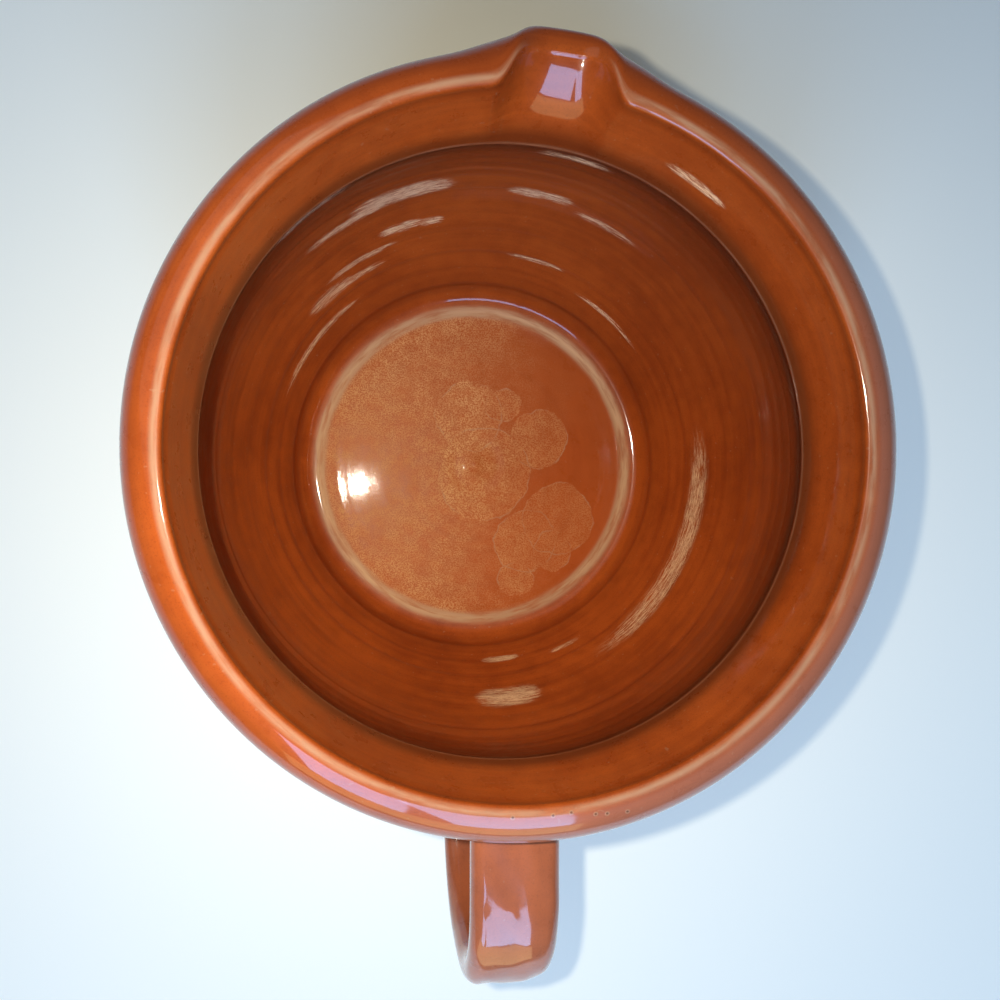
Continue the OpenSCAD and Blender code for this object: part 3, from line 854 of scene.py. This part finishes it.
# Over the crest and round the floor's groove: partly thin glaze, partly painted highlight. Along the neck's edge:
# painted highlight.
thin_and_highlight = 0.65 * bell(along_mm - crest_at - 0.2, 1.3) * (1 - near(from_spout, 11.5, 6))
thin_and_highlight += 0.95 * bell(from_axis - FLOOR_RING_R + 1.2, 2.5) * (bowl_at[:, 2] < 12) * facing_in
thin_and_highlight += 0.45 * bell(along_mm - collar_end, 0.8)
# Painted highlight: the pale ring round the floor's groove is brightest to the left and right, where the lamp's glints
# fall
ring_glint = bell(from_axis - FLOOR_RING_R + 1.2, 1.7) * (bowl_at[:, 2] < 12) * facing_in
ring_glint *= 0.22 + 0.36 * np.abs(np.cos(np.radians(degrees - 195)))
# Painted shade: the dark down the collar, under the neck's edge and in the corner by the floor stands for shade and the
# lamp's cast shadow. The fold inside the crest is partly pooled glaze.
pool_and_shade = 0.45 * bell(along_mm - crest_at - 3.6, 1.7) * (1 - near(from_spout, 14, 6))
pool_and_shade += 0.5 * bell(along_mm - collar_end + 2.5, 3) + 0.8 * bell(along_mm - collar_end - 5, 6)
pool_and_shade += 0.35 * bell(along_mm - collar_end - 18, 16) + 0.1 * bell(along_mm - along_of("fillet")[0], 5)
dry_and_highlight = 0 * thin_and_highlight
for height, middle, reach, half, strength in DRY_AND_HIGHLIGHT_PATCHES:
    turned = (degrees - middle + 180) % 360 - 180
    patch = bell(bowl_at[:, 2] - height, half) * np.exp(-(turned / reach) ** 4)
    dry_and_highlight = np.maximum(dry_and_highlight, strength * patch * facing_in)
floor_inside = np.clip((60.5 - from_axis) / 2.5, 0, 1) * (bowl_at[:, 2] < 16) * facing_in
satin = np.clip((along_mm - collar_end) / 2, 0, 1) * np.clip((along_of("fillet")[1] - along_mm) / 6, 0, 1)
outside = np.clip((crest_at - along_mm) / 2, 0, 1)
for name, values in (("thin_and_highlight", thin_and_highlight), ("pool_and_shade", pool_and_shade), ("dry_and_highlight", dry_and_highlight), ("satin", satin), ("outside", outside),
                     ("ring_glint", ring_glint), ("floor_inside", floor_inside)):
    give_marks(bowl.data, name, values)
    print(name, "up to", round(float(values.max()), 2))

# %% [markdown]
# The handle is a strap of clay pulled between wet fingers, which gives it two soft facets that meet in a
# low ridge. It leaves the neck level, turns down in one wide bend and comes back to the belly in another.
# A loft of one section along that path gives it directly, and the whole handle leans a little to the left
# as the real one does.

# %% Sizes of the handle
STRAP_W = 24
STRAP_T = 9.5
STRAP_ROUND = 4
HANDLE_TOP = 122.5
HANDLE_LOW = 46
HANDLE_REACH = 151.5
UPPER_BEND = 33
LOWER_BEND = 36
UPPER_ROOT = 95
LOWER_ROOT = 98.1
LEAN = math.radians(2.4)
RIDGE_AT = 3.4


def strap_section(width, thick):
    """Points round the strap: across it, and inwards from its outer face."""
    corners = [(1, 0), (1, 1), (-1, 1), (-1, 0)]
    points = []
    for number, (side, depth) in enumerate(corners):
        centre = (side * (width / 2 - STRAP_ROUND), STRAP_ROUND if depth == 0 else thick - STRAP_ROUND)
        for step in range(9):
            angle = TURN / 4 * (step / 8 - 1 + number)
            points.append((centre[0] + STRAP_ROUND * math.cos(angle), centre[1] + STRAP_ROUND * math.sin(angle)))
        if number in (1, 3):
            start = points[-1]
            end_side = -side
            reach = width - 2 * STRAP_ROUND
            points += [(start[0] + end_side * reach * k / 11, start[1]) for k in range(1, 11)]
    across = np.array([p[0] for p in points])
    inwards = np.array([p[1] for p in points])
    aside = across - RIDGE_AT
    slope = np.where(aside < 0, 0.035, 0.2)
    facet = slope * (np.sqrt(aside ** 2 + 1.2) - 1.1)
    facet = np.clip(facet, 0.02, None)
    return across, inwards + np.where(inwards < thick / 2, facet, 0)


def finger_waves(across, along):
    """How far wet fingers pressed the strap's outer face in, in millimetres."""
    wide = 0.11 * np.sin(0.42 * across + 0.9 * np.sin(0.11 * along)) * np.sin(0.21 * along + 1)
    return 0.17 + wide + 0.06 * np.sin(0.85 * across - 0.33 * along)


def handle_path(count):
    """Places of the strap's outer face and its outward directions, from the upper root to the lower."""
    upper = (HANDLE_REACH - UPPER_BEND, HANDLE_TOP - UPPER_BEND)
    lower = (HANDLE_REACH - LOWER_BEND, HANDLE_LOW + LOWER_BEND)
    runs = [(upper[0] - UPPER_ROOT + 3), TURN / 4 * UPPER_BEND, upper[1] - lower[1], TURN / 4 * LOWER_BEND,
            lower[0] - LOWER_ROOT + 3]
    ends = np.cumsum([0] + runs)
    result = []
    for d in np.linspace(0, ends[-1], count):
        if d <= ends[1]:
            result.append((UPPER_ROOT - 3 + d, HANDLE_TOP, 0.0, 1.0))
        elif d <= ends[2]:
            angle = TURN / 4 - (d - ends[1]) / UPPER_BEND
            result.append((upper[0] + UPPER_BEND * math.cos(angle), upper[1] + UPPER_BEND * math.sin(angle),
                           math.cos(angle), math.sin(angle)))
        elif d <= ends[3]:
            result.append((HANDLE_REACH, upper[1] - (d - ends[2]), 1.0, 0.0))
        elif d <= ends[4]:
            angle = -(d - ends[3]) / LOWER_BEND
            result.append((lower[0] + LOWER_BEND * math.cos(angle), lower[1] + LOWER_BEND * math.sin(angle),
                           math.cos(angle), math.sin(angle)))
        else:
            result.append((lower[0] - (d - ends[4]), HANDLE_LOW, 0.0, -1.0))
    return result


def handle_place(across, away, up):
    """Puts a point of the handle, in millimetres, at its place with the handle's lean."""
    x = across * np.cos(LEAN) + (up - HANDLE_TOP) * np.sin(LEAN)
    z = HANDLE_TOP - across * np.sin(LEAN) + (up - HANDLE_TOP) * np.cos(LEAN)
    return np.stack([x, -away + 0 * across, z], -1) * MM


def loft(name, rings, finish):
    """A closed piece through rings of points, with a middle point at each end."""
    count = len(rings[0])
    places = np.concatenate(rings + [np.mean(rings[0], 0, keepdims=True), np.mean(rings[-1], 0, keepdims=True)])
    faces = []
    for k in range(len(rings) - 1):
        for i in range(count):
            j = (i + 1) % count
            faces.append((k * count + i, k * count + j, (k + 1) * count + j, (k + 1) * count + i))
    last = (len(rings) - 1) * count
    for i in range(count):
        j = (i + 1) % count
        faces.append((len(places) - 2, j, i))
        faces.append((len(places) - 1, last + i, last + j))
    mesh = bpy.data.meshes.new(name)
    mesh.from_pydata(places.tolist(), [], faces)
    mesh.materials.append(finish)
    mesh.shade_smooth()
    piece = bpy.data.objects.new(name, mesh)
    bpy.context.scene.collection.objects.link(piece)
    face_outwards(piece)
    return piece


across, inwards = strap_section(STRAP_W, STRAP_T)
handle_rings = []
for number, (away, up, out_s, out_z) in enumerate(handle_path(150)):
    depth = inwards + np.where(inwards < STRAP_T / 2, finger_waves(across, number * 1.4), 0)
    handle_rings.append(handle_place(across, away - out_s * depth, up - out_z * depth))
handle = loft("pitcher_handle", handle_rings, handle_glaze)

# %% [markdown]
# Each end of the strap is luted to the wall with slip and soft clay, wiped into a fillet with a finger.
# The fillet is lofted from inside the strap's skin out to the wall, and flares as a quarter circle does.
# The lower one is pressed down into a tail.

# %% The two joins
def wall_face(across, up):
    """Distance from the axis, along the handle's direction, at which the wall's outer face lies."""
    x = across + (up - HANDLE_TOP) * np.sin(LEAN)
    wall = outer_r(np.minimum(up, NECK_Z))
    return np.sqrt(wall ** 2 - x ** 2)


def luting(name, root, top, spread_up, spread_down):
    """The fillet of clay round one end of the strap."""
    rings = []
    middle = STRAP_T / 2
    for t in np.linspace(0, 1, 26):
        flare = 1 - math.sqrt(max(0.0, 1 - min(1.0, t * 1.02) ** 2))
        grow = -0.35 + flare
        side = np.clip(across / (STRAP_W / 2), -1, 1)
        height = np.clip((middle - inwards) / middle, -1, 1)
        wide = across + side * (grow * 4.0 + 0.1)
        spread = np.where(height > 0, spread_up, spread_down)
        up = top - inwards + height * (grow * spread + 0.1)
        start = root + 4.0
        end = wall_face(wide, up) - 1.6
        rings.append(handle_place(wide, start + (end - start) * t, up))
    return loft(name, rings, join_glaze)


upper_join = luting("upper_join_clay", UPPER_ROOT, HANDLE_TOP, 4.0, 4.0)
lower_join = luting("lower_join_clay", LOWER_ROOT, HANDLE_LOW + STRAP_T, 4.0, 9.0)

# %% [markdown]
# Each clay piece stands for its node of the construction model: it hangs under the frame's root, and the model's own
# mesh for that node is hidden.

# %% Ride on the frame
for piece, node, slot in ((bowl, "body", "glazed_body"), (handle, "handle", "glazed_handle"),
                          (upper_join, "upper_join", "glazed_join"), (lower_join, "lower_join", "glazed_join")):
    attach(piece, "root")
    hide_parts(node)

# %% [markdown]
# The pitcher stands on a plain pale floor. A large soft light stands to the upper left and gives the
# shadow on the right, a cool window stands below and to the left, and a small lamp beside the camera
# makes the points of light on the floor and spout.

# %% Floor and light
floor_mesh = bpy.data.meshes.new("studio_floor")
floor_mesh.from_pydata([(-4, -4, 0), (4, -4, 0), (4, 4, 0), (-4, 4, 0)], [], [(0, 1, 2, 3)])
studio_floor = bpy.data.objects.new("studio_floor", floor_mesh)
bpy.context.scene.collection.objects.link(studio_floor)
floor_finish, tree = new_finish("pale_floor")
rays = put(tree, "ShaderNodeLightPath").outputs
seen = calc(tree, "MAXIMUM", rays["Is Camera Ray"], rays["Is Glossy Ray"])
floor_at = put(tree, "ShaderNodeTexCoord").outputs["Object"]
floor_y = put(tree, "ShaderNodeSeparateXYZ", {0: floor_at}).outputs[1]
floor_x = put(tree, "ShaderNodeSeparateXYZ", {0: floor_at}).outputs[0]
towards_glow = calc(tree, "SUBTRACT", floor_y, calc(tree, "MULTIPLY", floor_x, 0.6))
glow = calc(tree, "MULTIPLY", seen, ramp(tree, towards_glow, 0.14, -0.28, 0.01, 0.18))
floor_shader = put(tree, "ShaderNodeBsdfPrincipled", {
    "Base Color": (0.86, 0.85, 0.73, 1), "Roughness": 0.9,
    "Emission Color": (0.62, 0.78, 0.9, 1), "Emission Strength": glow}).outputs[0]
put(tree, "ShaderNodeOutputMaterial", {"Surface": floor_shader})
floor_mesh.materials.append(floor_finish)


def soft_light(name, at, aim, size, power, colour):
    """A square area light at a place, aimed at a point."""
    data = bpy.data.lights.new(name, "AREA")
    data.shape = "RECTANGLE"
    data.size, data.size_y = size
    data.energy = power
    data.color = colour
    lamp = bpy.data.objects.new(name, data)
    lamp.location = at
    lamp.rotation_mode = "QUATERNION"
    lamp.rotation_quaternion = (Vector(aim) - Vector(at)).to_track_quat("-Z", "Y")
    bpy.context.scene.collection.objects.link(lamp)
    return lamp


soft_light("soft_key", (-0.75, 0.55, 1.15), (0, 0, 0.08), (1.2, 1.2), 2.0, (1.0, 0.96, 0.9))
soft_light("window_left", (-0.47, -1.25, 1.2), (0, 0, 0.1), (0.5, 1.0), 15.4, (0.33, 0.57, 1.0))
soft_light("window_right", (0.135, -1.25, 1.2), (0, 0, 0.1), (0.53, 1.0), 16.3, (0.33, 0.57, 1.0))
soft_light("low_window", (-0.2, -1.27, 0.40), (0, 0, 0.1), (1.2, 0.5), 4.2, (1.0, 0.72, 0.36))
camera_lamp = soft_light("camera_lamp", (-0.052, -0.004, 0.330), (-0.04, -0.05, 0.02), (0.006, 0.006), 0.43, (1.0, 0.92, 0.76))
camera_lamp.data.shape = "DISK"
camera_lamp.data.spread = math.radians(130)

world = bpy.data.worlds.new("studio")
world.use_nodes = True
bpy.context.scene.world = world
world.node_tree.nodes.clear()
background = put(world.node_tree, "ShaderNodeBackground", {"Color": (1.0, 0.97, 0.94, 1), "Strength": 0.08}).outputs[0]
put(world.node_tree, "ShaderNodeOutputWorld", {"Surface": background})
bpy.context.scene.view_settings.view_transform = "Standard"
